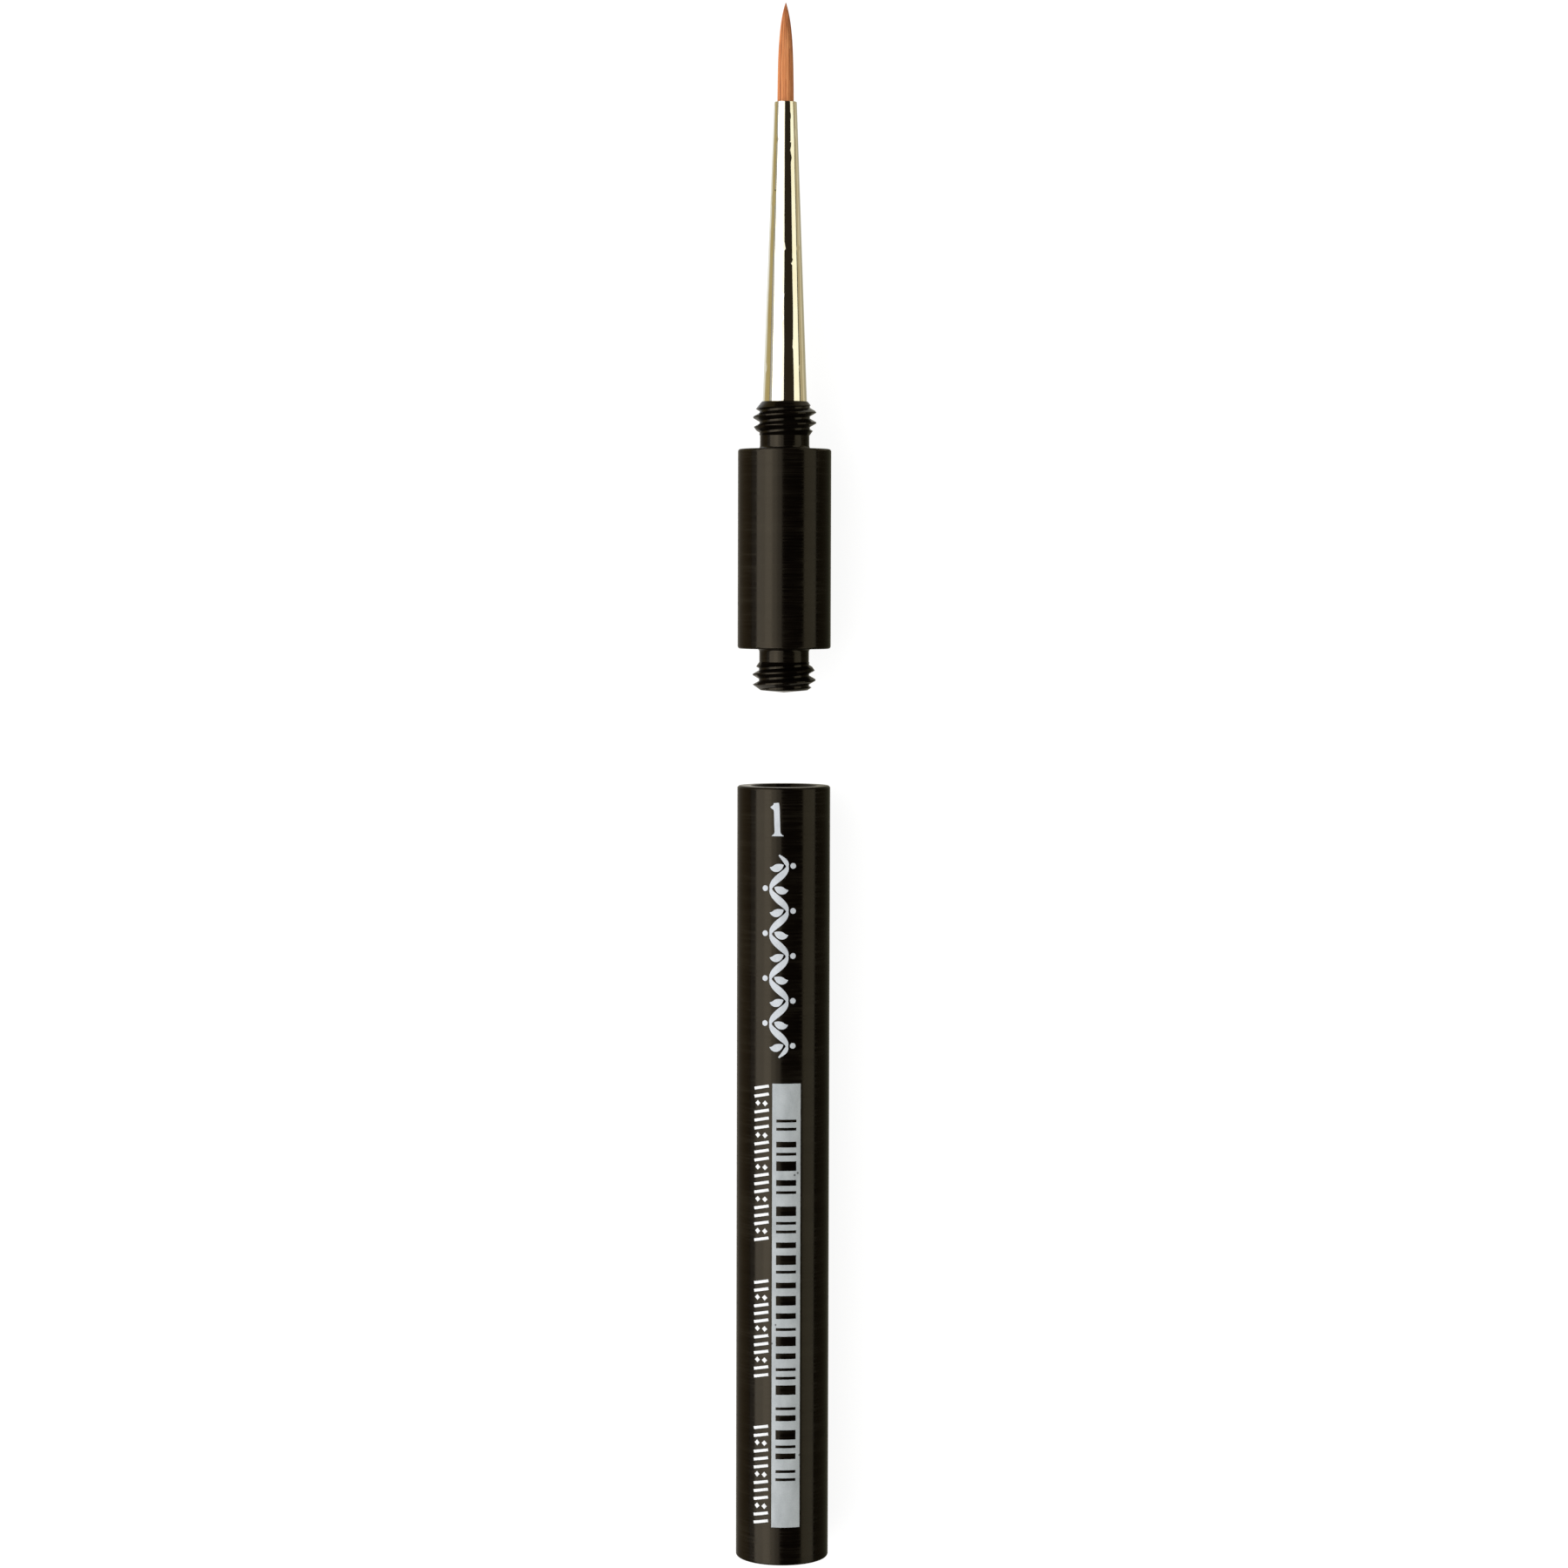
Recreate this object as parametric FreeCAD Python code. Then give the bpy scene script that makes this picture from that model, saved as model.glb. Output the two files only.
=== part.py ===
"""Fine detail brush: a brush head on a double-ended coupler, and a tube that is its handle and cap.

The brush lies along +Y with its hair tip at +Y, resting on the plane z = 0, with the two parts drawn
apart on one axis. Every piece is first built upright on a local Z axis that starts at the tube's closed
end and runs to the hair tip. lay_down() then turns local Z to +Y and lifts the axis to the tube's radius.
All sizes are in millimetres.
"""

import FreeCAD, Part
import math
import os

# Both parts have one outside diameter, so they join flush
BODY_R = 4.4

# Screw thread M6 x 1, right-hand, the same on both stubs and in the tube
THREAD_R = 2.975
PITCH = 1.0
THREAD_DEPTH = 0.6 * PITCH
CREST_HALF_FLAT = PITCH / 16
FLANK_TAN = math.tan(math.radians(30.0))
FLANK_CLEARANCE = 0.08
ROOT_CLEARANCE = 0.125
CREST_CLEARANCE = 0.175
CUTTER_OVERRUN = 0.06
RUN_OUT = 0.6 * PITCH
HELIX_CONE_DEG = 0
# Where the seam of a round blank is put, as angles from +X that are tried in turn
FIRST_SEAM_DEG = 77
SEAM_STEP_DEG = 40
# The share of a groove's sweep that lies in the metal: a stub has its neck and tapered end turned first
LEAST_MALE_CUT = 0.25
MOST_MALE_CUT = 0.60
LEAST_FEMALE_CUT = 0.50
MOST_FEMALE_CUT = 0.90

# Tube: a drilled and tapped cap, closed at its lower end
TUBE_LENGTH = 73.7
TUBE_EDGE_ROUND = 0.25
TUBE_MOUTH_CHAMFER = 0.15
TAPPED_LENGTH = 5.0
BORE_STEP = 0.05
HEAD_TIP_CLEARANCE = 5.85
DRILL_POINT_DEG = 118.0
RELIEF_LENGTH = 1.1 * PITCH
RELIEF_EXTRA_R = 0.05
ENTRY_EXTRA_R = 0.1

# Coupler: barrel with a threaded stub and an undercut neck at each end
DRAWN_APART = 8.8
BARREL_LENGTH = 18.8
BARREL_EDGE_ROUND = 0.25
LOWER_STUB_LENGTH = 4.15
UPPER_STUB_LENGTH = 4.45
LOWER_UNDERCUT = 0.025
UPPER_UNDERCUT = 0.045
NECK_LENGTH = 1.25
NECK_LEAD = 0.9
NECK_FILLET = 0.3
LOWER_END_CHAMFER = 0.75
LOWER_END_CROWN = 0.22
UPPER_END_TAPER = 0.8
UPPER_END_TAPER_LENGTH = 1.0
LOWER_CREST_OFFSET = 1.95
UPPER_CREST_OFFSET = 2.47

# Ferrule: a straight cone, seated on the end face of the upper stub with a narrow land left round it
STUB_LAND = 0.285
FERRULE_LENGTH = 28.0
FERRULE_MOUTH_R = 1.065
FERRULE_WALL = 0.25
FERRULE_LIP_ROUND = 0.06
TENON_LENGTH = 7.0
GLUE_LENGTH = 6.4
GLUE_THICKNESS = 0.05

# Hair, its binding and its resin
HAIR_OUT = 9.3
HAIR_CLEARANCE = 0.032
POINT_LENGTH = 2.25
TIP_R = 0.03
PIVOT_ABOVE_MOUTH = 0.3
BALL_CLEARANCE = 0.03
ROOT_DEPTH = 9.0
BOUND_LENGTH = 2.4
BINDING_THREAD_R = 0.07
BINDING_VALLEY = 0.08
BINDING_TURNS = 14
BINDING_MARGIN = 0.1
BINDING_GAP = 0.02
RESIN_LENGTH = 3.0
RESIN_CLEARANCE = 0.02

# Radii that follow from the thread and from the ferrule's mouth
MALE_ROOT_R = THREAD_R - THREAD_DEPTH
FEMALE_ROOT_R = THREAD_R + ROOT_CLEARANCE
FEMALE_CREST_R = MALE_ROOT_R + CREST_CLEARANCE
BORE_R = FEMALE_CREST_R - BORE_STEP
LOWER_NECK_R = MALE_ROOT_R - LOWER_UNDERCUT
UPPER_NECK_R = MALE_ROOT_R - UPPER_UNDERCUT
FERRULE_BASE_R = MALE_ROOT_R - STUB_LAND
HAIR_R = FERRULE_MOUTH_R - FERRULE_WALL - HAIR_CLEARANCE

# Stations along the local axis
MOUTH_Z = TUBE_LENGTH
LOWER_END_Z = MOUTH_Z + DRAWN_APART
BARREL_Z = LOWER_END_Z + LOWER_STUB_LENGTH
BARREL_TOP_Z = BARREL_Z + BARREL_LENGTH
FERRULE_Z = BARREL_TOP_Z + UPPER_STUB_LENGTH
FERRULE_MOUTH_Z = FERRULE_Z + FERRULE_LENGTH
TIP_Z = FERRULE_MOUTH_Z + HAIR_OUT
BORE_DEPTH = TIP_Z - BARREL_TOP_Z + HEAD_TIP_CLEARANCE
LOWER_CREST_Z = BARREL_Z - LOWER_CREST_OFFSET
UPPER_CREST_Z = BARREL_TOP_Z + UPPER_CREST_OFFSET
PIVOT_Z = FERRULE_MOUTH_Z + PIVOT_ABOVE_MOUTH
FERRULE_TAPER = (FERRULE_BASE_R - FERRULE_MOUTH_R) / FERRULE_LENGTH

AXIS = FreeCAD.Vector(0, 0, 1)
ORIGIN = FreeCAD.Vector(0, 0, 0)


def at(r, z):
    """A point of a turned outline, at radius r and height z."""
    return FreeCAD.Vector(r, 0, z)


def turned(edges):
    """The solid that a closed outline of edges in the XZ plane sweeps round the axis."""
    face = Part.Face(Part.Wire(Part.__sortEdges__(edges)))
    solid = face.revolve(ORIGIN, AXIS, 360)
    return solid if solid.Volume > 0 else solid.reversed()


def lines(points):
    """Straight edges that join a list of (r, z) points."""
    return [Part.makeLine(at(*a), at(*b)) for a, b in zip(points, points[1:])]


def turned_polygon(points):
    """The turned solid whose outline joins (r, z) points and closes on the first one."""
    return turned(lines(points + points[:1]))


def rims(solid, r, z):
    """The circular edges of a turned solid that have radius r at height z."""
    found = []
    for edge in solid.Edges:
        round_edge = isinstance(edge.Curve, Part.Circle)
        if round_edge and abs(edge.Curve.Radius - r) < 1e-6 and abs(edge.Curve.Center.z - z) < 1e-6:
            found.append(edge)
    return found


def ferrule_inner_r(z):
    """Inner radius of the ferrule's wall at height z."""
    return FERRULE_BASE_R - FERRULE_WALL - FERRULE_TAPER * (z - FERRULE_Z)


def tuft_r(z):
    """Radius of the hair tuft at height z: nearly a cylinder that curves in to a fine point."""
    return HAIR_R * (1.0 - math.exp(-(TIP_Z - z) / POINT_LENGTH))


def ridge_half_width(r):
    """Half the axial width of the male thread's ridge at radius r."""
    return CREST_HALF_FLAT + (THREAD_R - r) * FLANK_TAN


def helical_cutter(profile, centre_z, low_z, high_z):
    """A solid swept along a right-hand helix from low_z to high_z.

    profile lists (r, height above the groove's centre). The groove's centre crosses the +X side at
    centre_z and at every pitch above and below it.
    """
    helix = Part.makeLongHelix(PITCH, high_z - low_z, profile[0][0], HELIX_CONE_DEG)
    outline = Part.makePolygon([at(r, h) for r, h in profile + profile[:1]])
    solid = Part.Wire(helix).makePipeShell([outline], True, True)
    solid = solid if solid.Volume > 0 else solid.reversed()
    solid.translate(FreeCAD.Vector(0, 0, low_z))
    solid.rotate(ORIGIN, AXIS, 360.0 * (low_z - centre_z) / PITCH)
    return solid


def male_groove(crest_z, low_z, high_z):
    """What the die takes away between the ridges of a stub whose ridge crosses +X at crest_z."""
    outer_r = THREAD_R + CUTTER_OVERRUN
    inner = PITCH / 2 - ridge_half_width(MALE_ROOT_R)
    outer = PITCH / 2 - ridge_half_width(outer_r)
    profile = [(MALE_ROOT_R, -inner), (outer_r, -outer), (outer_r, outer), (MALE_ROOT_R, inner)]
    return helical_cutter(profile, crest_z + PITCH / 2, low_z, high_z)


def female_groove(crest_z, low_z, high_z):
    """What the tap takes away: the male ridge, grown by the clearance on each flank and at its crest."""
    inner_r = FEMALE_CREST_R - CUTTER_OVERRUN
    outer_r = FEMALE_ROOT_R
    grow = FLANK_CLEARANCE / math.cos(math.atan(FLANK_TAN))
    inner = ridge_half_width(inner_r) + grow
    outer = ridge_half_width(outer_r) + grow
    profile = [(outer_r, -outer), (inner_r, -inner), (inner_r, inner), (outer_r, outer)]
    return helical_cutter(profile, crest_z, low_z, high_z)


def threaded(blank, grooves, least, most):
    """The blank with its grooves cut, each taking between the least and most share of its sweep.

    The cuts can come out wrong where the seam of the round blank meets a groove, so the blank is turned
    on its axis, which leaves its shape as it is, until all of them come out whole.
    """
    for seam_deg in range(FIRST_SEAM_DEG, 360, SEAM_STEP_DEG):
        body = blank.copy()
        body.rotate(ORIGIN, AXIS, seam_deg)
        whole = True
        for groove in grooves:
            cut = body.cut(groove)
            share = (body.Volume - cut.Volume) / groove.Volume
            whole = whole and least < share < most
            body = cut
        if whole and body.isValid() and len(body.Solids) == 1:
            return body
    raise ValueError("a groove does not come out whole at any place of the blank's seam")


def make_tube():
    """Cap and handle: one turned piece with a deep blind bore and a tapped mouth."""
    body = Part.makeCylinder(BODY_R, TUBE_LENGTH)
    body = body.makeFillet(TUBE_EDGE_ROUND, rims(body, BODY_R, 0.0))
    body = body.makeChamfer(TUBE_MOUTH_CHAMFER, rims(body, BODY_R, MOUTH_Z))
    entry_r = FEMALE_ROOT_R + ENTRY_EXTRA_R
    relief_r = FEMALE_ROOT_R + RELIEF_EXTRA_R
    relief_top = MOUTH_Z - TAPPED_LENGTH
    relief_foot = relief_top - RELIEF_LENGTH
    bore_foot = MOUTH_Z - BORE_DEPTH
    point_depth = BORE_R / math.tan(math.radians(DRILL_POINT_DEG / 2))
    bore = turned_polygon(
        [
            (0.0, bore_foot - point_depth),
            (BORE_R, bore_foot),
            (BORE_R, relief_foot),
            (relief_r, relief_foot),
            (relief_r, relief_top),
            (FEMALE_CREST_R, relief_top),
            (FEMALE_CREST_R, MOUTH_Z - (entry_r - FEMALE_CREST_R)),
            (entry_r, MOUTH_Z),
            (entry_r, MOUTH_Z + PITCH),
            (0.0, MOUTH_Z + PITCH),
        ]
    )
    groove = female_groove(LOWER_CREST_Z, (relief_foot + relief_top) / 2, MOUTH_Z + RUN_OUT)
    return threaded(body.cut(bore), [groove], LEAST_FEMALE_CUT, MOST_FEMALE_CUT)


def make_coupler():
    """Double-ended coupler in one piece: lower stub, barrel, upper stub and the ferrule's tenon."""
    tenon_top = FERRULE_Z + TENON_LENGTH
    body = turned_polygon(
        [
            (0.0, LOWER_END_Z),
            (THREAD_R - LOWER_END_CHAMFER, LOWER_END_Z + LOWER_END_CROWN),
            (THREAD_R, LOWER_END_Z + LOWER_END_CHAMFER),
            (THREAD_R, BARREL_Z - NECK_LENGTH - NECK_LEAD),
            (LOWER_NECK_R, BARREL_Z - NECK_LENGTH),
            (LOWER_NECK_R, BARREL_Z),
            (BODY_R, BARREL_Z),
            (BODY_R, BARREL_TOP_Z),
            (UPPER_NECK_R, BARREL_TOP_Z),
            (UPPER_NECK_R, BARREL_TOP_Z + NECK_LENGTH),
            (THREAD_R, BARREL_TOP_Z + NECK_LENGTH + NECK_LEAD),
            (THREAD_R, FERRULE_Z - UPPER_END_TAPER_LENGTH),
            (THREAD_R - UPPER_END_TAPER, FERRULE_Z),
            (ferrule_inner_r(FERRULE_Z) - GLUE_THICKNESS, FERRULE_Z),
            (ferrule_inner_r(tenon_top) - GLUE_THICKNESS, tenon_top),
            (0.0, tenon_top),
        ]
    )
    barrel_rims = rims(body, BODY_R, BARREL_Z) + rims(body, BODY_R, BARREL_TOP_Z)
    body = body.makeFillet(BARREL_EDGE_ROUND, barrel_rims)
    neck_rims = rims(body, LOWER_NECK_R, BARREL_Z) + rims(body, UPPER_NECK_R, BARREL_TOP_Z)
    body = body.makeFillet(NECK_FILLET, neck_rims)
    lower = male_groove(LOWER_CREST_Z, LOWER_END_Z - RUN_OUT, BARREL_Z - RUN_OUT)
    upper = male_groove(UPPER_CREST_Z, BARREL_TOP_Z + RUN_OUT, FERRULE_Z + RUN_OUT)
    return threaded(body, [lower, upper], LEAST_MALE_CUT, MOST_MALE_CUT)


def make_ferrule():
    """Thin conical tube with a plain, lightly rounded lip at its narrow mouth."""
    body = turned_polygon(
        [
            (FERRULE_BASE_R - FERRULE_WALL, FERRULE_Z),
            (FERRULE_BASE_R, FERRULE_Z),
            (FERRULE_MOUTH_R, FERRULE_MOUTH_Z),
            (FERRULE_MOUTH_R - FERRULE_WALL, FERRULE_MOUTH_Z),
        ]
    )
    return body.makeFillet(FERRULE_LIP_ROUND, rims(body, FERRULE_MOUTH_R, FERRULE_MOUTH_Z))


def make_ferrule_adhesive():
    """Film of adhesive between the tenon and the wide end of the ferrule."""
    top = FERRULE_Z + GLUE_LENGTH
    return turned_polygon(
        [
            (ferrule_inner_r(FERRULE_Z) - GLUE_THICKNESS, FERRULE_Z),
            (ferrule_inner_r(FERRULE_Z), FERRULE_Z),
            (ferrule_inner_r(top), top),
            (ferrule_inner_r(top) - GLUE_THICKNESS, top),
        ]
    )


def bound_r(z):
    """Radius of the hair root where the binding thread is wound round it."""
    return ferrule_inner_r(z) - 2 * BINDING_THREAD_R - 2 * BINDING_GAP


def make_hair_root():
    """The hair held inside the ferrule: it fills the cone, and is thinner where it is bound."""
    top = PIVOT_Z - tuft_r(PIVOT_Z) - BALL_CLEARANCE
    foot = FERRULE_MOUTH_Z - ROOT_DEPTH
    bound_top = foot + BOUND_LENGTH
    return turned_polygon(
        [
            (0.0, foot),
            (bound_r(foot), foot),
            (bound_r(bound_top), bound_top),
            (ferrule_inner_r(bound_top), bound_top),
            (ferrule_inner_r(top), top),
            (0.0, top),
        ]
    )


def make_binding_thread():
    """Thread wound round the bound part of the hair root, its turns side by side and stuck together."""
    foot = FERRULE_MOUTH_Z - ROOT_DEPTH + BINDING_MARGIN
    height = BOUND_LENGTH - 2 * BINDING_MARGIN
    turn_height = height / BINDING_TURNS
    valley = BINDING_GAP + BINDING_VALLEY
    crown = BINDING_GAP + 2 * BINDING_THREAD_R
    turns = []
    for n in range(BINDING_TURNS):
        low, middle, high = (foot + turn_height * (n + part) for part in (0.0, 0.5, 1.0))
        arc = Part.Arc(
            at(bound_r(low) + valley, low),
            at(bound_r(middle) + crown, middle),
            at(bound_r(high) + valley, high),
        )
        turns.append(arc.toShape())
    top = foot + height
    inner = [
        (bound_r(top) + valley, top),
        (bound_r(top) + BINDING_GAP, top),
        (bound_r(foot) + BINDING_GAP, foot),
        (bound_r(foot) + valley, foot),
    ]
    return turned(turns + lines(inner))


def make_resin_plug():
    """Plug of resin that was poured in behind the bound hair root."""
    top = FERRULE_MOUTH_Z - ROOT_DEPTH - RESIN_CLEARANCE
    foot = top - RESIN_LENGTH
    return turned_polygon(
        [
            (0.0, foot),
            (ferrule_inner_r(foot) - RESIN_CLEARANCE, foot),
            (ferrule_inner_r(top) - RESIN_CLEARANCE, top),
            (0.0, top),
        ]
    )


def make_hair_tuft():
    """The free hair: a ball-shaped foot just inside the mouth, a round body and a fine point."""
    heights = [PIVOT_Z + (TIP_Z - PIVOT_Z) * (1.0 - 0.62 ** n) for n in range(8)]
    side = [at(tuft_r(z), z) for z in heights]
    side.append(at(TIP_R, TIP_Z))
    outer = Part.BSplineCurve()
    outer.interpolate(side)
    foot_r = tuft_r(PIVOT_Z)
    middle = at(foot_r * math.sin(math.pi / 4), PIVOT_Z - foot_r * math.cos(math.pi / 4))
    ball = Part.Arc(at(0.0, PIVOT_Z - foot_r), middle, at(foot_r, PIVOT_Z))
    closing = lines([(TIP_R, TIP_Z), (0.0, TIP_Z), (0.0, PIVOT_Z - foot_r)])
    return turned([outer.toShape(), ball.toShape()] + closing)


def lay_down(solid):
    """Turn the local axis to +Y, centre its length on the origin and rest the tube on z = 0."""
    laid = solid.copy()
    laid.rotate(ORIGIN, FreeCAD.Vector(1, 0, 0), -90)
    laid.translate(FreeCAD.Vector(0, -TIP_Z / 2, BODY_R))
    return laid


def main():
    """Build every piece and write each to its own STEP file."""
    makers = {
        "tube": make_tube,
        "coupler": make_coupler,
        "ferrule": make_ferrule,
        "ferrule_adhesive": make_ferrule_adhesive,
        "hair_root": make_hair_root,
        "binding_thread": make_binding_thread,
        "resin_plug": make_resin_plug,
        "hair_tuft": make_hair_tuft,
    }
    os.makedirs("parts", exist_ok=True)
    for node, make in makers.items():
        solid = make()
        assert solid.isValid() and len(solid.Solids) == 1, node
        laid = lay_down(solid.Solids[0])
        laid.exportStep("parts/" + node + ".step")
        box = laid.BoundBox
        print(node, round(laid.Volume, 3), [round(v, 3) for v in (box.YMin, box.YMax, box.ZMin, box.ZMax)])


main()
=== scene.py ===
"""Looks of a pocket detail brush: a black anodised handle tube with printed marks, and a brush head
with a double-ended screw coupler, a gilt ferrule and a pointed tuft of hair. Lengths in metres."""
import math
import random

import bpy
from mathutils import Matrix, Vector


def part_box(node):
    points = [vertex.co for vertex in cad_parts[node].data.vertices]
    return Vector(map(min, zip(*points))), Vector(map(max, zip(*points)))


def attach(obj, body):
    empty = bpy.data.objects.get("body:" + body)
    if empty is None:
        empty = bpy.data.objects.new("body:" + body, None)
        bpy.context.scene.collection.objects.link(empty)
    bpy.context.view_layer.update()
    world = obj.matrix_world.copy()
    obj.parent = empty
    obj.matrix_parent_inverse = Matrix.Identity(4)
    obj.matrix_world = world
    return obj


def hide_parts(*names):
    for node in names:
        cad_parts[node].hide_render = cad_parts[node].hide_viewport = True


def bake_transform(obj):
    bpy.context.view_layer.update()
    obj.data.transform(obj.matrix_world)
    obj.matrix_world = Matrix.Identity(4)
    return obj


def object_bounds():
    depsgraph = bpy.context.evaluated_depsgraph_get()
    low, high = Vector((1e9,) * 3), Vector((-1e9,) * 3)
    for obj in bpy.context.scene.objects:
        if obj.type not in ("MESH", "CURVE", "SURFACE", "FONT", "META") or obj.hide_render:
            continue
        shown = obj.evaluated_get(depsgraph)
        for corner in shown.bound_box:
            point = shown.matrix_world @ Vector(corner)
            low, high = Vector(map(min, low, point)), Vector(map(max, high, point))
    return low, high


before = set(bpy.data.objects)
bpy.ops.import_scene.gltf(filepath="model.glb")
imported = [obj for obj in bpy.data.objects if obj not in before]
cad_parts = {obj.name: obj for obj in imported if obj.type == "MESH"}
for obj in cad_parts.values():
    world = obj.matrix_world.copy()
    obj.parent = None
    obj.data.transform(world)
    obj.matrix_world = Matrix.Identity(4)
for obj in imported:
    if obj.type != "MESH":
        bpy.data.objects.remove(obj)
cad_low, cad_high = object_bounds()

MM = 0.001
tube_low, tube_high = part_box("tube")
ferrule_low, ferrule_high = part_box("ferrule")
TUBE_R = tube_high.x
AXIS_Z = (tube_low.z + tube_high.z) / 2
TUBE_MOUTH = tube_high.y
FERRULE_BASE = ferrule_low.y
HAIR_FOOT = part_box("hair_tuft")[0].y
HAIR_TIP = cad_high.y


# ---------------------------------------------------------------- meshes

def mesh_object(name, points, faces, smooth=True):
    """A mesh object in the row frame."""
    mesh = bpy.data.meshes.new(name)
    mesh.from_pydata([tuple(p) for p in points], [], faces)
    mesh.validate()
    for polygon in mesh.polygons:
        polygon.use_smooth = smooth
    obj = bpy.data.objects.new(name, mesh)
    bpy.context.scene.collection.objects.link(obj)
    return obj


def ring_grid(rings):
    """Points and faces of a closed skin over rings of equal length, each a closed loop of points."""
    count = len(rings[0])
    points = [p for ring in rings for p in ring]
    faces = []
    for i in range(len(rings) - 1):
        for j in range(count):
            k = (j + 1) % count
            faces.append((i * count + j, i * count + k, (i + 1) * count + k, (i + 1) * count + j))
    faces.append(tuple(reversed(range(count))))
    faces.append(tuple((len(rings) - 1) * count + j for j in range(count)))
    return points, faces


# ---------------------------------------------------------------- material helpers

# Places of the colour sockets on a mix node, whose sockets share their names
MIX_FACTOR, MIX_A, MIX_B, MIX_RESULT = 0, 6, 7, 2


def material(name):
    """A new material with its node tree and its Principled shader."""
    made = bpy.data.materials.new(name)
    made.use_nodes = True
    return made, made.node_tree, made.node_tree.nodes["Principled BSDF"]


def node(tree, kind, inputs=None, **settings):
    """A node with some settings, and with values or links on its input sockets."""
    made = tree.nodes.new(kind)
    for key, value in settings.items():
        setattr(made, key, value)
    for key, value in (inputs or {}).items():
        if isinstance(value, bpy.types.NodeSocket):
            tree.links.new(value, made.inputs[key])
        else:
            made.inputs[key].default_value = value
    return made


def stretched(tree, scale):
    """The object coordinates, multiplied by scale on each axis."""
    where = node(tree, "ShaderNodeTexCoord")
    return node(tree, "ShaderNodeMapping", {"Vector": where.outputs["Object"],
                                            "Scale": scale}).outputs["Vector"]


def noise(tree, vector, detail=2.0, roughness=0.5):
    """Smooth noise from 0 to 1, with one swell for each unit of the vector."""
    return node(tree, "ShaderNodeTexNoise", {"Vector": vector, "Scale": 1.0, "Detail": detail,
                                             "Roughness": roughness}).outputs["Fac"]


def ramp(tree, factor, stops):
    """A colour ramp through (position, colour) stops."""
    made = node(tree, "ShaderNodeValToRGB", {"Fac": factor})
    elements = made.color_ramp.elements
    while len(elements) < len(stops):
        elements.new(0.5)
    for element, (position, colour) in zip(elements, stops):
        element.position = position
        element.color = (*colour, 1.0)
    return made.outputs["Color"]


def span(tree, value, low, high):
    """A 0 to 1 value stretched to run from low to high."""
    return node(tree, "ShaderNodeMapRange", {"Value": value, "To Min": low,
                                             "To Max": high}).outputs["Result"]


def share(tree, value, low, high):
    """How far a value lies from low to high, from 0 to 1."""
    return node(tree, "ShaderNodeMapRange", {"Value": value, "From Min": low,
                                             "From Max": high}).outputs["Result"]


def added(tree, a, b, operation="ADD"):
    """Two values joined by a sum, or by another operation."""
    return node(tree, "ShaderNodeMath", {0: a, 1: b}, operation=operation).outputs[0]


def mixed_colour(tree, factor, a, b):
    """Colour a where the factor is 0 and colour b where it is 1."""
    made = node(tree, "ShaderNodeMix", data_type="RGBA")
    tree.links.new(factor, made.inputs[MIX_FACTOR])
    for socket, colour in ((MIX_A, a), (MIX_B, b)):
        if isinstance(colour, bpy.types.NodeSocket):
            tree.links.new(colour, made.inputs[socket])
        else:
            made.inputs[socket].default_value = (*colour, 1.0)
    return made.outputs[MIX_RESULT]


def bumped(tree, shader, height, distance):
    """Fine relief on a shader, from a height value and a depth in metres."""
    made = node(tree, "ShaderNodeBump", {"Height": height, "Distance": distance, "Strength": 1.0})
    tree.links.new(made.outputs["Normal"], shader.inputs["Normal"])


def dress(names, made):
    """One material on some nodes of the row."""
    for name in names:
        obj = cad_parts[name]
        obj.data.materials.clear()
        obj.data.materials.append(made)


# ---------------------------------------------------------------- materials

def anodised_black():
    """Black anodised turned aluminium: fine rings left by the lathe, and a faint cloudiness."""
    made, tree, shader = material("anodised_black")
    rings = noise(tree, stretched(tree, (250.0, 6500.0, 250.0)), detail=3.0, roughness=0.75)
    broad = noise(tree, stretched(tree, (60.0, 1300.0, 60.0)), detail=2.0)
    cloud = noise(tree, stretched(tree, (350.0, 120.0, 350.0)), detail=4.0)
    tone = added(tree, added(tree, rings, broad, "MULTIPLY"), added(tree, cloud, 0.45, "MULTIPLY"))
    tree.links.new(ramp(tree, tone, [(0.34, (0.0013, 0.0008, 0.0006)),
                                     (0.50, (0.0026, 0.0018, 0.0012)),
                                     (0.66, (0.0062, 0.0050, 0.0034))]), shader.inputs["Base Color"])
    tree.links.new(ramp(tree, rings, [(0.36, (0.10, 0.10, 0.10)), (0.50, (0.17, 0.17, 0.17)),
                                      (0.64, (0.27, 0.27, 0.27))]), shader.inputs["Roughness"])
    shader.inputs["Specular IOR Level"].default_value = 0.26
    shader.inputs["Specular Tint"].default_value = (1.0, 0.85, 0.62, 1.0)
    bumped(tree, shader, added(tree, rings, broad), 0.0000016)
    return made


def gilt_metal():
    """Polished pale gold plating on a drawn sleeve, with slight dents and draw lines."""
    made, tree, shader = material("gilt_metal")
    waves = noise(tree, stretched(tree, (420.0, 110.0, 420.0)), detail=1.0)
    pits = noise(tree, stretched(tree, (1500.0, 700.0, 1500.0)), detail=0.0)
    dents = share(tree, pits, 0.68, 0.80)
    draw = noise(tree, stretched(tree, (5200.0, 60.0, 5200.0)), detail=2.0)
    stain = noise(tree, stretched(tree, (700.0, 260.0, 700.0)), detail=5.0, roughness=0.6)
    tree.links.new(ramp(tree, stain, [(0.30, (0.88, 0.80, 0.60)),
                                      (0.55, (0.95, 0.90, 0.74)),
                                      (0.80, (0.97, 0.93, 0.80))]), shader.inputs["Base Color"])
    tree.links.new(span(tree, draw, 0.03, 0.09), shader.inputs["Roughness"])
    shader.inputs["Metallic"].default_value = 1.0
    bumped(tree, shader, added(tree, waves, added(tree, dents, -0.25, "MULTIPLY")), 0.00006)
    return made


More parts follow.
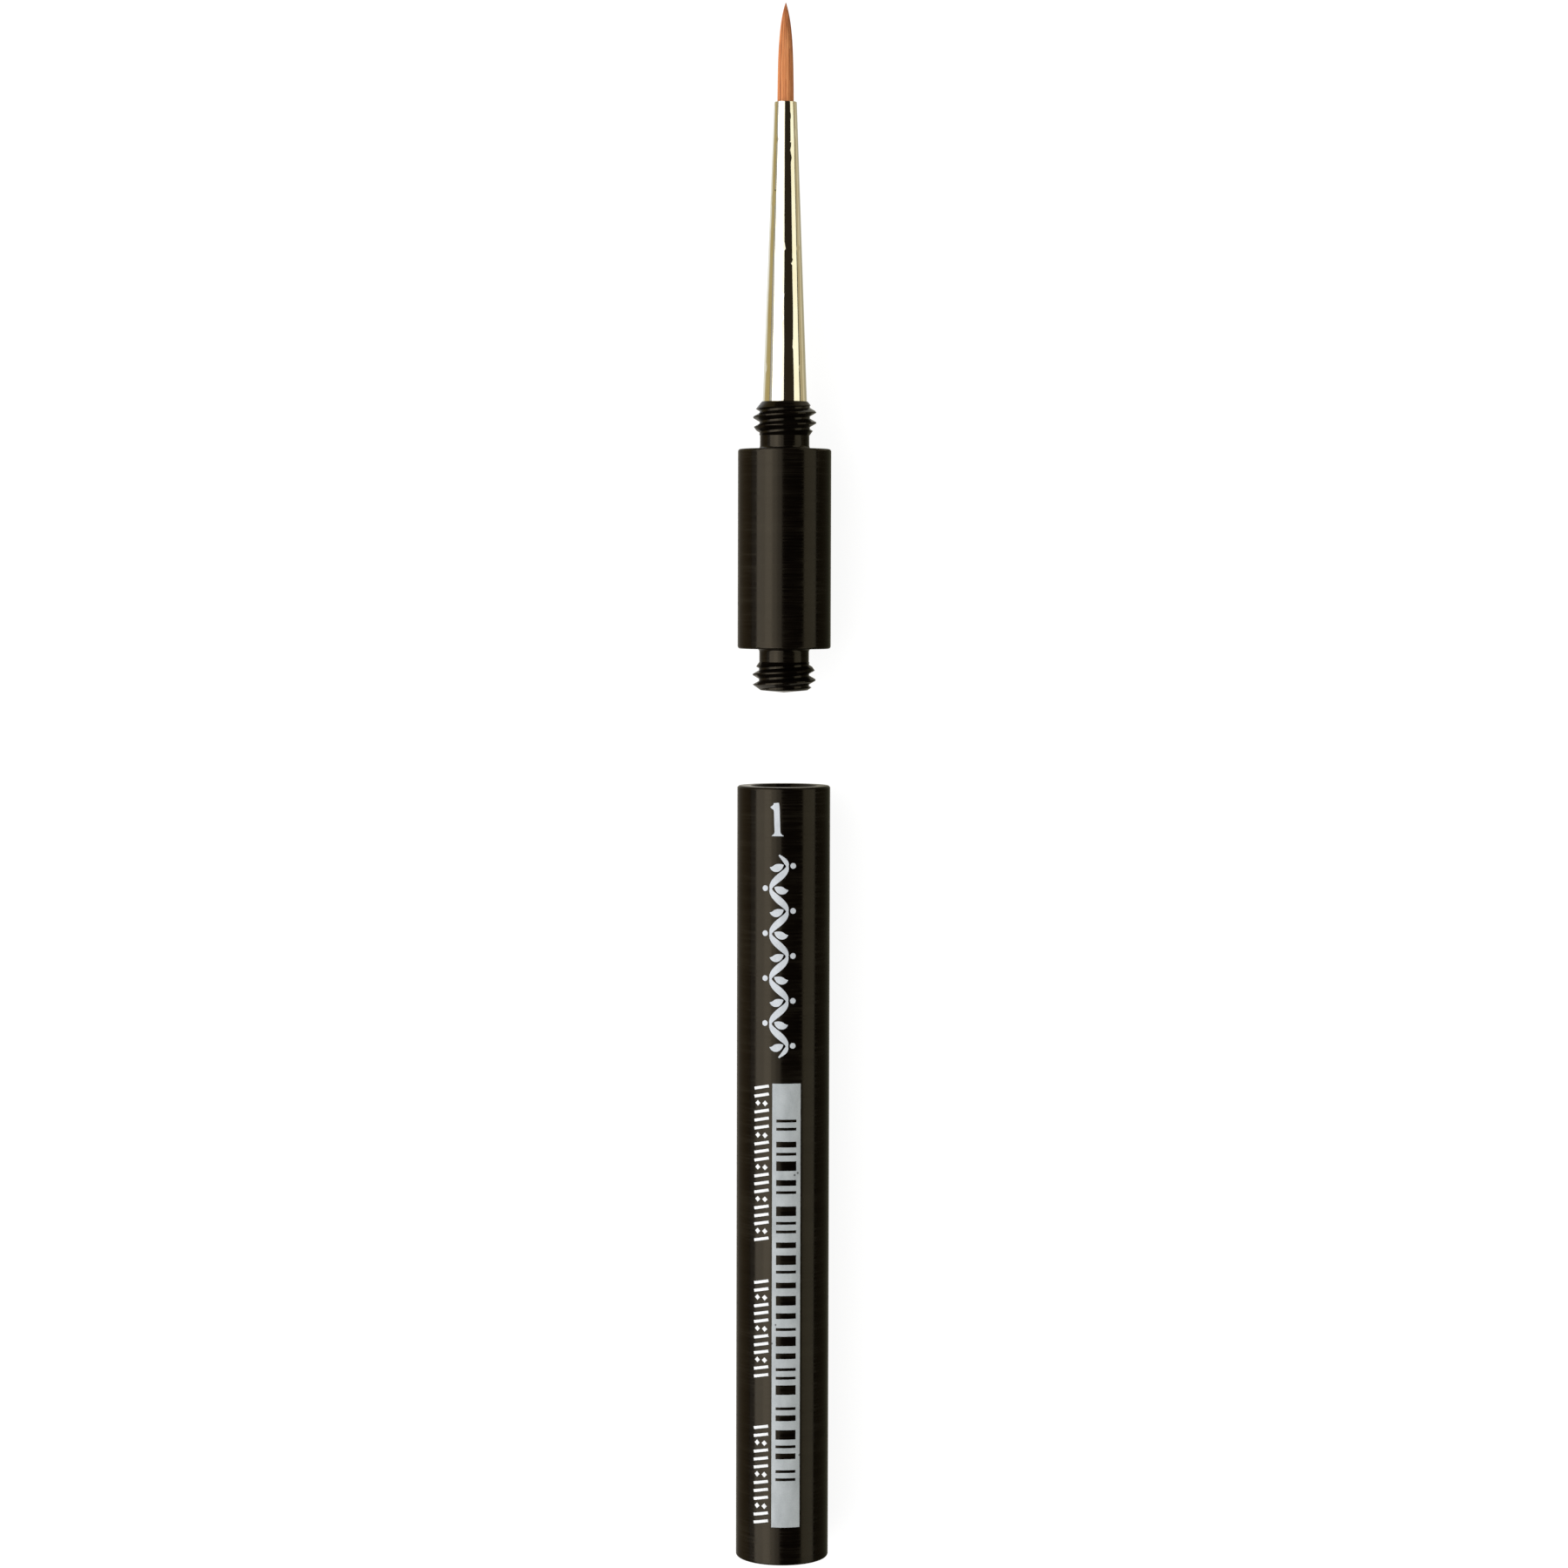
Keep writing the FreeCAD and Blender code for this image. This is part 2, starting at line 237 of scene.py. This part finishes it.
def brush_hair():
    """Red sable: each hair has its own tone, streaked along its length and darker at its root."""
    made, tree, shader = material("brush_hair")
    tone = node(tree, "ShaderNodeAttribute", attribute_name="tone").outputs["Fac"]
    streak = noise(tree, stretched(tree, (9000.0, 300.0, 9000.0)), detail=3.0)
    mixed = added(tree, added(tree, tone, 0.72, "MULTIPLY"), added(tree, streak, 0.40, "MULTIPLY"))
    tree.links.new(ramp(tree, mixed, [(0.16, (0.240, 0.078, 0.026)),
                                      (0.44, (0.540, 0.186, 0.062)),
                                      (0.68, (0.720, 0.282, 0.100)),
                                      (0.95, (0.860, 0.440, 0.190))]), shader.inputs["Base Color"])
    tree.links.new(span(tree, streak, 0.34, 0.52), shader.inputs["Roughness"])
    shader.inputs["Specular IOR Level"].default_value = 0.30
    bumped(tree, shader, streak, 0.000004)
    return made


def ink(name, dull, bright, pinholes):
    """Screen-printed ink with a fine flake and a few pinholes."""
    made, tree, shader = material(name)
    flake = noise(tree, stretched(tree, (14000.0, 14000.0, 14000.0)), detail=2.0, roughness=0.7)
    mottle = noise(tree, stretched(tree, (900.0, 500.0, 900.0)), detail=4.0)
    tone = added(tree, added(tree, flake, 0.5, "MULTIPLY"), added(tree, mottle, 0.5, "MULTIPLY"))
    body = ramp(tree, tone, [(0.35, dull), (0.65, bright)])
    cells = node(tree, "ShaderNodeTexVoronoi", {"Vector": stretched(tree, (1100.0, 1100.0, 1100.0)),
                                                "Scale": 1.0}).outputs["Distance"]
    patchy = noise(tree, stretched(tree, (320.0, 260.0, 320.0)), detail=1.0)
    gate = node(tree, "ShaderNodeMapRange", {"Value": patchy, "From Min": 0.50, "From Max": 0.62,
                                             "To Min": 0.6, "To Max": 0.0}).outputs["Result"]
    hole = share(tree, added(tree, cells, gate), pinholes, pinholes + 0.04)
    dark = tuple(0.30 * c for c in dull)
    tree.links.new(mixed_colour(tree, hole, dark, body), shader.inputs["Base Color"])
    tree.links.new(span(tree, flake, 0.42, 0.62), shader.inputs["Roughness"])
    shader.inputs["Specular IOR Level"].default_value = 0.35
    bumped(tree, shader, tone, 0.000003)
    return made


def glassy(name, deep, pale, rough):
    """Adhesive or resin: a coloured, slightly cloudy solid."""
    made, tree, shader = material(name)
    cloud = noise(tree, stretched(tree, (1500.0, 1500.0, 1500.0)), detail=4.0)
    tree.links.new(ramp(tree, cloud, [(0.3, deep), (0.7, pale)]), shader.inputs["Base Color"])
    tree.links.new(span(tree, cloud, rough, rough + 0.15), shader.inputs["Roughness"])
    bumped(tree, shader, cloud, 0.00002)
    return made


def root_hair():
    """The tied, waxed roots of the tuft, seen only when the ferrule is off."""
    made, tree, shader = material("root_hair")
    strand = noise(tree, stretched(tree, (9000.0, 250.0, 9000.0)), detail=3.0)
    tree.links.new(ramp(tree, strand, [(0.3, (0.09, 0.035, 0.016)), (0.7, (0.30, 0.13, 0.06))]),
                   shader.inputs["Base Color"])
    tree.links.new(span(tree, strand, 0.4, 0.6), shader.inputs["Roughness"])
    bumped(tree, shader, strand, 0.00001)
    return made


def waxed_thread():
    """Linen thread with a twist."""
    made, tree, shader = material("waxed_thread")
    twist = node(tree, "ShaderNodeTexWave", {"Vector": stretched(tree, (3500.0, 5200.0, 3500.0)),
                                             "Scale": 1.0, "Distortion": 2.0, "Detail": 2.0},
                 bands_direction="DIAGONAL").outputs["Fac"]
    tree.links.new(ramp(tree, twist, [(0.2, (0.42, 0.36, 0.26)), (0.8, (0.66, 0.60, 0.47))]),
                   shader.inputs["Base Color"])
    tree.links.new(span(tree, twist, 0.55, 0.75), shader.inputs["Roughness"])
    bumped(tree, shader, twist, 0.00001)
    return made


black = anodised_black()
gilt = gilt_metal()
hair_look = brush_hair()
silver_ink = ink("silver_ink", (0.33, 0.355, 0.37), (0.47, 0.50, 0.515), 0.10)
pale_ink = ink("pale_ink", (0.45, 0.48, 0.52), (0.61, 0.64, 0.68), 0.08)
bright_ink = ink("bright_ink", (0.66, 0.67, 0.68), (0.80, 0.81, 0.82), 0.04)
dress(["tube", "coupler"], black)
dress(["ferrule"], gilt)
dress(["ferrule_adhesive"], glassy("adhesive_film", (0.20, 0.12, 0.03), (0.42, 0.28, 0.09), 0.2))
dress(["resin_plug"], glassy("resin", (0.28, 0.13, 0.02), (0.50, 0.27, 0.06), 0.12))
dress(["hair_root"], root_hair())
dress(["binding_thread"], waxed_thread())
dress(["hair_tuft"], hair_look)


# ---------------------------------------------------------------- hair

HAIR_R = 0.783 * MM           # the tuft's radius far below its point
POINT_LENGTH = 2.25 * MM      # how quickly it draws to a point
CORE_SHARE = 0.90             # the core's radius, as a share of the tuft's
CORE_TIP_GAP = 0.10 * MM
CORE_STEPS = 40
CORE_SIDES = 40
SEED = 11
STRANDS = 430
STRAND_R = 0.034 * MM
STRAND_SIDES = 5
STRAND_STEPS = 26
GOLDEN_TURN = 0.618034        # each strand stands this share of a turn on from the last
LAYER_INSETS = (0.0, 0.05, 0.10)
MOST_SHORT = 4.2 * MM         # how far the shortest strands end below the tip


def tuft_radius(y):
    """The bundle's radius at a place along the axis."""
    return HAIR_R * (1 - math.exp(-max(HAIR_TIP - y, 0) / POINT_LENGTH))


def on_axis(radius, angle, y):
    """The point at a radius from the brush's axis and an angle from straight up."""
    return (radius * math.sin(angle), y, AXIS_Z + radius * math.cos(angle))


def make_hair():
    """Tapered hairs laid side by side in three layers over a core, all drawn to one point."""
    rng = random.Random(SEED)
    points, faces, tones = [], [], []

    def add(rings, tone_of):
        base = len(points)
        more, skin = ring_grid(rings)
        points.extend(more)
        faces.extend(tuple(base + i for i in face) for face in skin)
        sides = len(rings[0])
        tones.extend(tone_of(i) for i in range(len(rings)) for _ in range(sides))

    core = []
    for i in range(CORE_STEPS + 1):
        y = HAIR_FOOT + (HAIR_TIP - CORE_TIP_GAP - HAIR_FOOT) * i / CORE_STEPS
        r = max(CORE_SHARE * tuft_radius(y), 0.004 * MM)
        core.append([on_axis(r, 2 * math.pi * j / CORE_SIDES, y) for j in range(CORE_SIDES)])
    # The core has a darker tone than the strands on average: painted shade in the gaps between the hairs.
    add(core, lambda i: 0.30)

    for s in range(STRANDS):
        angle = 2 * math.pi * (s * GOLDEN_TURN + rng.uniform(-0.002, 0.002))
        inset = LAYER_INSETS[s % len(LAYER_INSETS)] + rng.uniform(0, 0.03)
        short = rng.uniform(0, 1) ** 2 * MOST_SHORT + 0.02 * MM
        end = HAIR_TIP - short
        sway = rng.uniform(-0.05, 0.05)
        wave = rng.uniform(0, 2 * math.pi)
        tone = min(1.0, max(0.0, rng.gauss(0.52, 0.20)))
        thick = STRAND_R * rng.uniform(0.8, 1.2)
        rings = []
        for i in range(STRAND_STEPS + 1):
            t = i / STRAND_STEPS
            t = 1 - (1 - t) ** 1.35
            y = HAIR_FOOT + (end - HAIR_FOOT) * t
            crowding = 0.35 + 0.65 * min(1, tuft_radius(y) / (0.55 * HAIR_R))
            r_hair = thick * max(0.10, (1 - t ** 3.2)) * crowding
            reach = max(tuft_radius(y) * (1 - inset) - r_hair, 0)
            a = angle + sway * math.sin(2.2 * t * math.pi + wave) * t
            cx, cz = reach * math.sin(a), reach * math.cos(a)
            rings.append([(cx + r_hair * math.sin(2 * math.pi * j / STRAND_SIDES + a), y,
                           AXIS_Z + cz + r_hair * math.cos(2 * math.pi * j / STRAND_SIDES + a))
                          for j in range(STRAND_SIDES)])
        add(rings, lambda i, tone=tone: min(1.0, max(0.0, tone + 0.10 * (i / STRAND_STEPS - 0.4))))
    obj = mesh_object("tuft_hairs", points, faces)
    attribute = obj.data.attributes.new("tone", "FLOAT", "POINT")
    attribute.data.foreach_set("value", tones)
    obj.data.materials.append(hair_look)
    return obj


hairs = make_hair()
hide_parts("hair_tuft")
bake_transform(hairs)


# ---------------------------------------------------------------- print on the tube

INK_TOP = 0.012 * MM
INK_FOOT = 0.003 * MM

# Places along the tube, measured down from its mouth
NUMERAL_TOP, NUMERAL_FOOT = 1.40 * MM, 4.52 * MM
ORNAMENT_TOP, ORNAMENT_FOOT = 6.30 * MM, 25.36 * MM
PANEL_TOP, PANEL_FOOT = 27.83 * MM, 70.02 * MM
BARS_TOP, BARS_FOOT = 31.22 * MM, 65.58 * MM
STROKE_RUNS_MM = ((27.83, 42.98), (46.30, 55.96), (60.14, 69.93))

# Places round the tube, measured from its top line
NUMERAL_MIDDLE = -0.62 * MM
ORNAMENT_MIDDLE = -0.42 * MM
PANEL_LEFT, PANEL_RIGHT = -1.01 * MM, 1.70 * MM
BARS_LEFT, BARS_RIGHT = -0.62 * MM, 1.29 * MM
STROKES_LEFT, STROKES_RIGHT = -2.86 * MM, -1.34 * MM

# Widths of an open bar and of the gap after it, in units, for half of a mirrored row
THIN, MEDIUM, THICK = 0.30, 0.60, 1.0
HALF_ROW = [(THIN, 0.55), (THIN, 1.15), (MEDIUM, 0.55), (THIN, 0.60), (THICK, 0.95), (MEDIUM, 0.55),
            (THIN, 1.30), (THICK, 0.60), (THIN, 0.60), (THIN, 0.95), (MEDIUM, 0.75), (THICK, 0.60),
            (THIN, 0.95), (MEDIUM, 0.80)]
LONGEST_CELL = 0.2 * MM


class Print:
    """Ink shapes on the tube, laid out flat: u runs round the tube from its top line, v along it."""

    def __init__(self, name, look):
        self.name, self.look = name, look
        self.keys, self.flat, self.cells = {}, [], []

    def point(self, u, v):
        """The number of the flat point at u, v, which is made once."""
        key = (round(u * 1e8), round(v * 1e8))
        if key not in self.keys:
            self.keys[key] = len(self.flat)
            self.flat.append((u, v))
        return self.keys[key]

    def grid(self, rows):
        """Cells between rows of (u, v) points."""
        for low, high in zip(rows, rows[1:]):
            for j in range(len(low) - 1):
                cell = [self.point(*low[j]), self.point(*low[j + 1]),
                        self.point(*high[j + 1]), self.point(*high[j])]
                if len(set(cell)) == 4:
                    self.cells.append(tuple(cell))

    def ribbon(self, line, columns=4):
        """A band along a line of (u, v, half width) points."""
        rows = []
        for i, (u, v, half) in enumerate(line):
            a, b = line[max(i - 1, 0)], line[min(i + 1, len(line) - 1)]
            du, dv = b[0] - a[0], b[1] - a[1]
            length = math.hypot(du, dv)
            nu, nv = -dv / length, du / length
            rows.append([(u + nu * half * (2 * j / columns - 1), v + nv * half * (2 * j / columns - 1))
                         for j in range(columns + 1)])
        self.grid(rows)

    def disc(self, u, v, radius, sides=20, rings=3):
        """A round dot, as rings round a small middle."""
        rows = [[(u + radius * k / rings * math.cos(2 * math.pi * j / sides),
                  v + radius * k / rings * math.sin(2 * math.pi * j / sides)) for j in range(sides + 1)]
                for k in range(1, rings + 1)]
        self.grid(rows)
        self.cells.append(tuple(self.point(*p) for p in rows[0][:-1]))

    def make(self):
        """The solid: a top and a foot over each cell, and walls round their outlines."""
        points = []
        for height in (INK_TOP, INK_FOOT):
            r = TUBE_R + height
            points += [on_axis(r, u / TUBE_R, v) for u, v in self.flat]
        count = len(self.flat)
        used = {}
        faces = []
        for cell in self.cells:
            flat = [self.flat[i] for i in cell]
            area = sum(a[0] * b[1] - b[0] * a[1] for a, b in zip(flat, flat[1:] + flat[:1]))
            if area > 0:
                cell = tuple(reversed(cell))
            faces.append(cell)
            faces.append(tuple(count + i for i in reversed(cell)))
            for a, b in zip(cell, cell[1:] + cell[:1]):
                used[(a, b)] = True
        for a, b in used:
            if (b, a) not in used:
                faces.append((b, a, count + a, count + b))
        obj = mesh_object(self.name, points, faces, smooth=False)
        obj.data.materials.append(self.look)
        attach(obj, "handle_tube")
        return obj


def make_numeral():
    """The brush's size, a plain figure one with serifs."""
    shape = Print("print_size_figure", pale_ink)
    top, foot = TUBE_MOUTH - NUMERAL_TOP, TUBE_MOUTH - NUMERAL_FOOT
    lean = 0.10 * MM
    half = 0.27 * MM
    rows = []
    for i in range(25):
        t = i / 24
        v = foot + (top - foot) * t
        flare = 0.32 * MM * math.exp(-((v - foot) / (0.16 * MM)) ** 2)
        centre = NUMERAL_MIDDLE + lean * (0.5 - t)
        left = centre - half - flare
        flag = 0.34 * MM * math.exp(-((v - top + 0.42 * MM) / (0.17 * MM)) ** 2)
        right = centre + half + flare - 0.05 * MM * max(0, (t - 0.9) / 0.1)
        cap = 0.30 * MM * max(0, t - 0.85)
        rows.append([(left - flag + (right - left + flag) * j / 6, v + (cap * (j / 6 - 0.5)))
                     for j in range(7)])
    shape.grid(rows)
    return shape.make()


def make_ornament():
    """A running vine: a wavy stem with a leaf and a berry at each bend."""
    shape = Print("print_ornament", pale_ink)
    start, end = TUBE_MOUTH - ORNAMENT_TOP, TUBE_MOUTH - ORNAMENT_FOOT
    swing, bends = 0.78 * MM, 9
    length = end - start

    def stem(t):
        return ORNAMENT_MIDDLE + swing * math.sin(bends * math.pi * t), start + length * t

    line = []
    for i in range(181):
        t = i / 180
        u, v = stem(t)
        slim = abs(math.cos(bends * math.pi * t))
        ends = min(1, t / 0.04, (1 - t) / 0.04)
        line.append((u, v, (0.11 + 0.22 * slim) * MM * (0.2 + 0.8 * ends)))
    shape.ribbon(line)
    for k in range(bends):
        t = (k + 0.5) / bends
        u, v = stem(t)
        side = 1 if k % 2 == 0 else -1
        leaf = []
        for i in range(15):
            s = i / 14
            across = -side * (0.34 + 1.62 * s - 0.30 * s * s) * MM
            along = -(0.30 * math.sin(2.6 * s) - 0.16 + 0.10 * s) * MM
            leaf.append((u + across, v + along, max(0.005, 0.36 * math.sin(math.pi * s ** 0.8)) * MM))
        shape.ribbon(leaf, columns=5)
        shape.disc(u + side * 0.55 * MM, v + 0.05 * MM, 0.27 * MM)
    return shape.make()


def make_panel():
    """A plain band of silver ink, crossed by a row of open bars where the tube shows through."""
    shape = Print("print_panel", silver_ink)
    top, foot = TUBE_MOUTH - PANEL_TOP, TUBE_MOUTH - PANEL_FOOT
    first, last = TUBE_MOUTH - BARS_TOP, TUBE_MOUTH - BARS_FOOT
    gaps_before = [0] + [gap for _, gap in HALF_ROW[:-1]]
    mirrored = [(width, gap) for (width, _), gap in zip(HALF_ROW, gaps_before)][::-1]
    row = HALF_ROW + [(THICK, HALF_ROW[-1][1])] + mirrored
    total = sum(width + gap for width, gap in row)
    unit = (last - first) / total
    edges = [top]
    open_rows = []
    v = first
    for width, gap in row:
        open_rows.append(len(edges))
        edges += [v, v + width * unit]
        v += (width + gap) * unit
    edges.append(foot)
    us = [PANEL_LEFT]
    for a, b in ((PANEL_LEFT, BARS_LEFT), (BARS_LEFT, BARS_RIGHT), (BARS_RIGHT, PANEL_RIGHT)):
        count = max(1, math.ceil((b - a) / LONGEST_CELL))
        us += [a + (b - a) * (j + 1) / count for j in range(count)]
    for i in range(len(edges) - 1):
        for j in range(len(us) - 1):
            inside = BARS_LEFT - 1e-9 < us[j] and us[j + 1] < BARS_RIGHT + 1e-9
            if i in open_rows and inside:
                continue
            shape.grid([[(us[j], edges[i]), (us[j + 1], edges[i])],
                        [(us[j], edges[i + 1]), (us[j + 1], edges[i + 1])]])
    return shape.make()


def make_strokes():
    """Three runs of small slanted strokes and lozenges beside the band."""
    shape = Print("print_strokes", bright_ink)
    width = STROKES_RIGHT - STROKES_LEFT
    slant, half, pitch = 0.30 * MM, 0.135 * MM, 0.74 * MM
    for first, last in STROKE_RUNS_MM:
        count = round((last - first) * MM / pitch)
        step = (last - first) * MM / count
        for k in range(count):
            v = TUBE_MOUTH - first * MM - step * (k + 0.5)
            if k % 4 == 2:
                for centre in (0.25, 0.75):
                    u = STROKES_LEFT + width * centre
                    line = [(u + 0.27 * MM * (j / 4 - 1), v, max(0.006, 0.27 * (1 - abs(j / 4 - 1))) * MM)
                            for j in range(9)]
                    shape.ribbon(line, columns=2)
                continue
            line = [(STROKES_LEFT + width * j / 8, v + slant * (j / 8 - 0.5), half) for j in range(9)]
            shape.ribbon(line, columns=2)
    return shape.make()


for piece in (make_numeral(), make_ornament(), make_panel(), make_strokes()):
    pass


# ---------------------------------------------------------------- floor

FLOOR_HALF = 3.0
CARD_DEPTH = 0.001
CARD_REACH = 20 * MM          # how far out to each side the card's tones change


def make_floor():
    """A plain, even, pale floor under the object, and a glowing card below it that only polished sides see:
    a painted reflection of the floor, with painted shadow of the object in it.
    """
    corners = [(-FLOOR_HALF, -FLOOR_HALF), (FLOOR_HALF, -FLOOR_HALF),
               (FLOOR_HALF, FLOOR_HALF), (-FLOOR_HALF, FLOOR_HALF)]
    floor = mesh_object("floor", [(x, y, 0.0) for x, y in corners], [(0, 1, 2, 3)], smooth=False)
    made, tree, shader = material("floor_pale")
    grain = noise(tree, stretched(tree, (6.0, 6.0, 6.0)), detail=2.0)
    tree.links.new(ramp(tree, grain, [(0.3, (0.175, 0.175, 0.175)), (0.7, (0.185, 0.185, 0.185))]),
                   shader.inputs["Base Color"])
    shader.inputs["Roughness"].default_value = 0.9
    shader.inputs["Specular IOR Level"].default_value = 0.0
    shader.inputs["Emission Color"].default_value = (1.0, 1.0, 1.0, 1.0)
    shader.inputs["Emission Strength"].default_value = 0.92
    floor.data.materials.append(made)
    floor.visible_glossy = False
    card = mesh_object("painted_floor_reflection_card", [(x, y, -CARD_DEPTH) for x, y in corners],
                       [(0, 1, 2, 3)], smooth=False)
    made, tree, shader = material("painted_floor_reflection")
    shader.inputs["Base Color"].default_value = (0.0, 0.0, 0.0, 1.0)
    shader.inputs["Specular IOR Level"].default_value = 0.0
    where = node(tree, "ShaderNodeTexCoord").outputs["Object"]
    split = node(tree, "ShaderNodeSeparateXYZ", {"Vector": where})
    across = share(tree, split.outputs["X"], -CARD_REACH, CARD_REACH)
    # Painted reflection of the floor beside the body: pale just under it, and darker to the right as
    # painted shadow of the body.
    painted_reflection_beside_body = ramp(tree, across, [(0.05, (0.27, 0.21, 0.12)), (0.26, (0.23, 0.20, 0.15)),
                                      (0.44, (0.60, 0.57, 0.51)), (0.58, (0.30, 0.28, 0.22)),
                                      (0.72, (0.11, 0.11, 0.07)), (0.95, (0.10, 0.085, 0.05))])
    painted_reflection_beside_ferrule = ramp(tree, across, [(0.05, (0.41, 0.34, 0.17)), (0.24, (0.46, 0.40, 0.25)),
                                         (0.32, (0.82, 0.84, 0.86)), (0.50, (0.80, 0.80, 0.76)),
                                         (0.64, (0.37, 0.35, 0.27)), (0.70, (0.40, 0.37, 0.28)),
                                         (0.84, (0.66, 0.61, 0.47)), (1.00, (0.41, 0.36, 0.24))])
    # The painted reflection is brighter beside the ferrule, as painted shade that is lighter where the thin
    # ferrule shadows the floor less.
    along = share(tree, split.outputs["Y"], FERRULE_BASE - 2 * MM, FERRULE_BASE)
    tree.links.new(mixed_colour(tree, along, painted_reflection_beside_body, painted_reflection_beside_ferrule), shader.inputs["Emission Color"])
    shader.inputs["Emission Strength"].default_value = 1.0
    card.data.materials.append(made)
    card.visible_camera = False
    card.visible_diffuse = False
    card.visible_shadow = False


make_floor()


# ---------------------------------------------------------------- light

LIGHT_DISTANCE = 0.55
LIGHT_LENGTH = 1.7


def strip_light(name, low, high, radiance, colour=(1.0, 1.0, 1.0)):
    """A long softbox beside the object: low and high are its edges' angles from straight up, in degrees."""
    a, b = math.radians(low), math.radians(high)
    middle = (a + b) / 2
    width = 2 * LIGHT_DISTANCE * math.tan(abs(b - a) / 2)
    lamp = bpy.data.lights.new(name, "AREA")
    lamp.shape = "RECTANGLE"
    lamp.size, lamp.size_y = width, LIGHT_LENGTH
    lamp.energy = radiance * math.pi * width * LIGHT_LENGTH
    lamp.color = colour
    obj = bpy.data.objects.new(name, lamp)
    obj.location = (LIGHT_DISTANCE * math.sin(middle), 0.0, AXIS_Z + LIGHT_DISTANCE * math.cos(middle))
    obj.rotation_euler = (0.0, middle, 0.0)
    obj.visible_camera = False
    bpy.context.scene.collection.objects.link(obj)


strip_light("key_low", -88, -72, 0.40)
strip_light("key_wide", -72, -48, 2.6)
strip_light("key_core", -48, -30, 3.3)
strip_light("key_soft", -30, -18, 2.0)
strip_light("key_edge", -18, -6, 1.2)
strip_light("fill", 49, 84, 1.08, (0.98, 0.98, 0.84))

world = bpy.data.worlds.new("studio")
bpy.context.scene.world = world
world.use_nodes = True
tree = world.node_tree
tree.nodes.clear()
dim = node(tree, "ShaderNodeBackground", {"Color": (1.0, 0.80, 0.55, 1.0), "Strength": 0.022})
pale = node(tree, "ShaderNodeBackground", {"Color": (1.0, 1.0, 1.0, 1.0), "Strength": 1.0})
path = node(tree, "ShaderNodeLightPath")
both = node(tree, "ShaderNodeMixShader", {0: path.outputs["Is Camera Ray"], 1: dim.outputs[0],
                                          2: pale.outputs[0]})
node(tree, "ShaderNodeOutputWorld", {"Surface": both.outputs[0]})

bpy.context.scene.view_settings.view_transform = "Standard"
bpy.context.scene.view_settings.look = "None"


# ---------------------------------------------------------------- camera

SENSOR_WIDTH = 36.0           # the camera's own sizes are in millimetres
LENS = 89.48
CAMERA_DISTANCE = 0.369
CAMERA_TILT = math.radians(3.1)
CAMERA_ROLL = math.radians(0.15)
AIM_X = -0.00003
AIM_Y = 0.00024

camera = bpy.data.objects.new("camera", bpy.data.cameras.new("camera"))
camera.data.sensor_width = SENSOR_WIDTH
camera.data.lens = LENS
camera.location = (AIM_X, AIM_Y + CAMERA_DISTANCE * math.sin(CAMERA_TILT),
                   AXIS_Z + CAMERA_DISTANCE * math.cos(CAMERA_TILT))
camera.rotation_euler = (-CAMERA_TILT, 0.0, CAMERA_ROLL)
camera.data.clip_start = 0.01
camera.data.clip_end = 20.0
bpy.context.scene.collection.objects.link(camera)
bpy.context.scene.camera = camera
